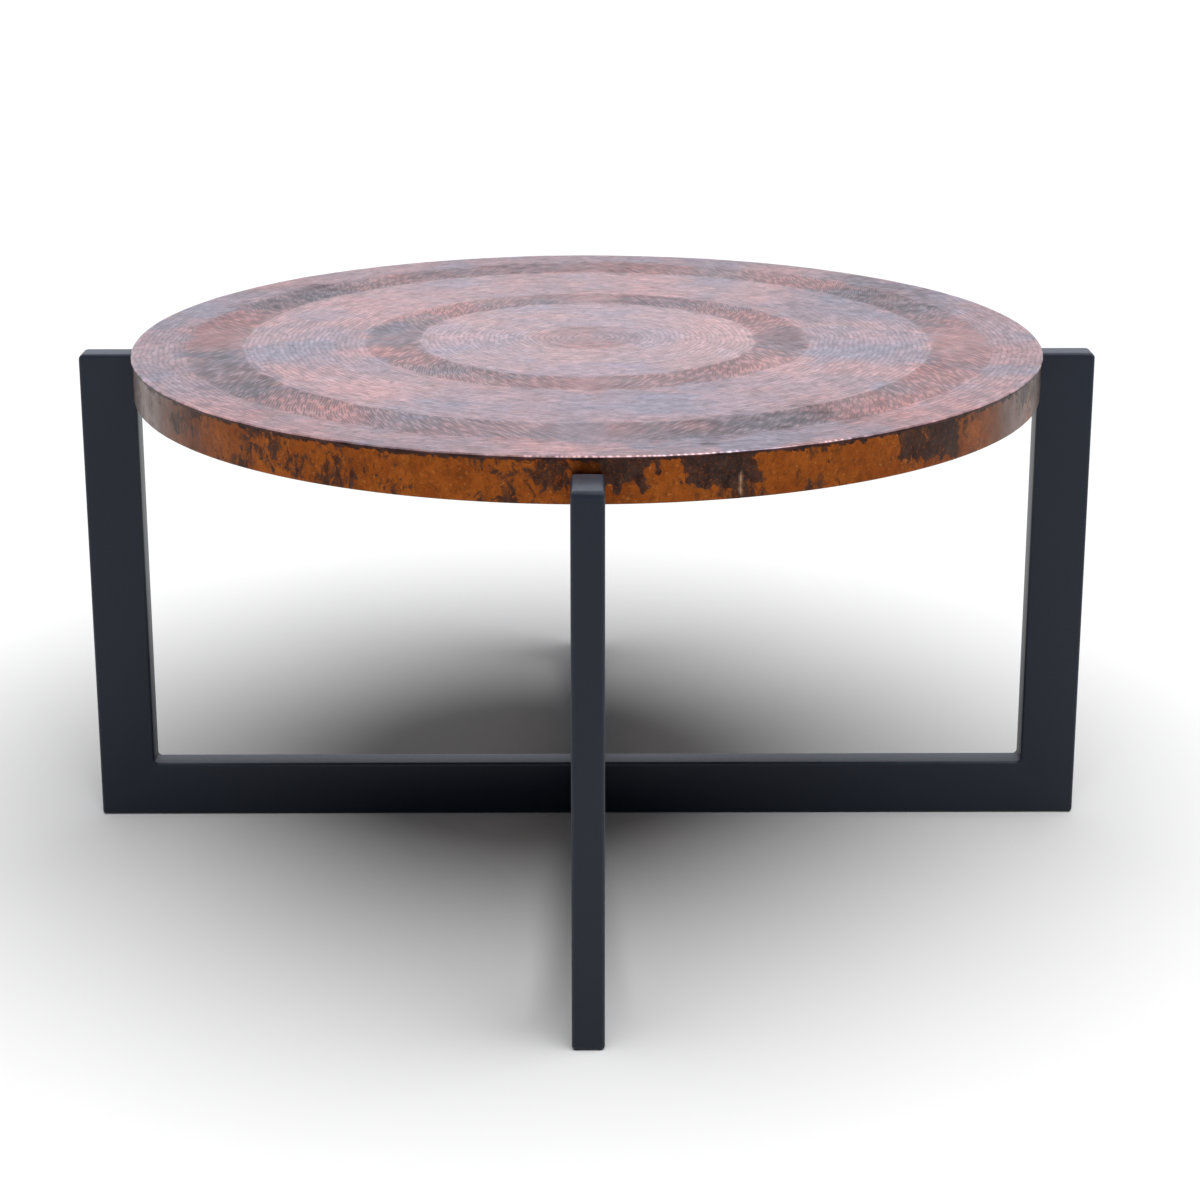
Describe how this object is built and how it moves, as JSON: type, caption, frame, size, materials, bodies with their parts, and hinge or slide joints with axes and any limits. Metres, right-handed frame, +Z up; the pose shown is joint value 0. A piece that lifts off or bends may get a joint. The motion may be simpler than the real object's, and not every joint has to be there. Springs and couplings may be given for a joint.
{
  "type": "round copper top coffee table",
  "caption": "Round hammered copper coffee table: a copper-clad disc lifts out from between the uprights of a crossed black steel tube base.",
  "frame": {"origin": "on the floor under the middle of the table, at the bottom centre of its box", "axes": "+Z up, -Y towards the front upright, +X towards the right upright"},
  "size_m": [0.9144, 0.9144, 0.4572],
  "materials": {
    "frame_steel": "black powder coat, satin, fine texture",
    "pad_rubber": "matt black rubber",
    "core_board": "fibreboard, stained dark on the underside",
    "edge_copper": "fired copper with dark brown patina blotches, waxed",
    "hammered_copper": "hammered copper with a pink and brown fire patina, waxed"
  },
  "bodies": {
    "base": {"left_upright": "frame_steel", "left_upright_cap": "frame_steel", "left_support_tab": "frame_steel", "left_support_pad": "pad_rubber", "front_upright": "frame_steel", "front_upright_cap": "frame_steel", "front_support_tab": "frame_steel", "front_support_pad": "pad_rubber", "right_upright": "frame_steel", "right_upright_cap": "frame_steel", "right_support_tab": "frame_steel", "right_support_pad": "pad_rubber", "rear_upright": "frame_steel", "rear_upright_cap": "frame_steel", "rear_support_tab": "frame_steel", "rear_support_pad": "pad_rubber", "through_floor_rail": "frame_steel", "front_floor_rail": "frame_steel", "rear_floor_rail": "frame_steel"},
    "top": {"top_core": "core_board", "copper_edge_band": "edge_copper", "copper_top_sheet": "hammered_copper"}
  },
  "joints": [
    {"name": "top_lift", "type": "slide", "parent": "base", "child": "top", "axis": [0, 0, 1], "range_m": [0, 0.1]}
  ]
}
